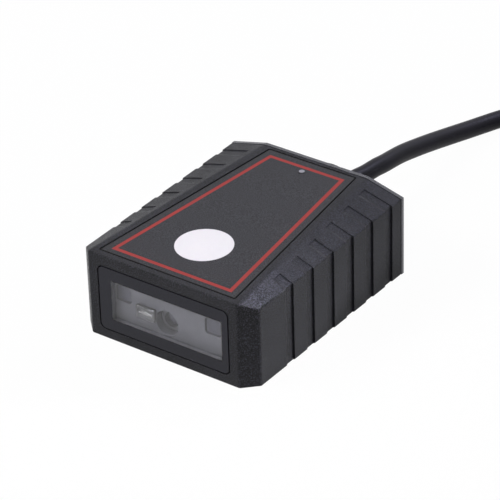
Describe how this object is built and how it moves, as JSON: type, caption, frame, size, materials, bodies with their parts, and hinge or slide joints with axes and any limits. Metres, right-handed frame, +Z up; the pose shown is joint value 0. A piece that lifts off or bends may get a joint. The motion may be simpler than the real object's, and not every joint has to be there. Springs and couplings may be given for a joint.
{
  "type": "fixed barcode reader",
  "caption": "Compact fixed-mount barcode reader: ribbed tapering housing, flush scan window, film label on top, and a lead leaving the rear through a moulded gland to a coil and a USB plug.",
  "frame": {"origin": "centre of the underside of the reader's body, without its gland and lead", "axes": "+Z up from the mounting face to the labelled top, -Y out of the scan window, +X to the right as seen when facing the window from the front, where the lead leaves towards +Y"},
  "size_m": [0.1017, 0.13, 0.0204],
  "materials": {
    "shell_plastic": "fine spark texture",
    "cover_plastic": "fine spark texture",
    "black_rubber": "matt moulded",
    "screw_steel": "zinc plated",
    "clear_acrylic": "polished",
    "black_tape": "matt",
    "label_film": "satin printed film",
    "led_resin": "cast resin",
    "board_laminate": "solder mask",
    "engine_plastic": "moulded",
    "chip_plastic": "moulded",
    "lens_glass": "coated",
    "socket_plastic": "moulded",
    "flex_film": "film",
    "insert_brass": "turned",
    "cable_jacket": "satin extruded"
  },
  "bodies": {
    "root": {"housing": "shell_plastic", "rear_cover": "cover_plastic", "rear_seal": "black_rubber", "cover_screw_1": "screw_steel", "cover_screw_2": "screw_steel", "cover_screw_3": "screw_steel", "cover_screw_4": "screw_steel", "scan_window": "clear_acrylic", "window_tape": "black_tape", "label": "label_film", "light_pipe": "clear_acrylic", "status_led": "led_resin", "indicator_board": "board_laminate", "engine_bracket": "engine_plastic", "bracket_screw_left": "screw_steel", "bracket_screw_right": "screw_steel", "aimer_lens": "clear_acrylic", "aimer_led": "led_resin", "lamp_lens_left": "clear_acrylic", "lamp_lens_right": "clear_acrylic", "lamp_led_left": "led_resin", "lamp_led_right": "led_resin", "light_board": "board_laminate", "lens_barrel": "chip_plastic", "front_lens": "lens_glass", "lens_holder": "chip_plastic", "image_sensor": "lens_glass", "sensor_board": "board_laminate", "sensor_screw_left": "screw_steel", "sensor_screw_right": "screw_steel", "flex_plug": "socket_plastic", "flex_ribbon": "flex_film", "flex_socket": "socket_plastic", "main_board": "board_laminate", "processor": "chip_plastic", "memory_chip": "chip_plastic", "buzzer": "chip_plastic", "lead_header": "socket_plastic", "lead_plug": "socket_plastic", "inner_lead": "cable_jacket", "thread_insert_1": "insert_brass", "thread_insert_2": "insert_brass", "thread_insert_3": "insert_brass", "thread_insert_4": "insert_brass", "cable_gland": "black_rubber", "cable": "cable_jacket", "cable_coil": "cable_jacket", "coil_tie": "black_rubber", "cable_end": "cable_jacket", "plug_grip": "black_rubber", "plug_shell": "screw_steel", "plug_tongue": "socket_plastic"}
  },
  "joints": []
}
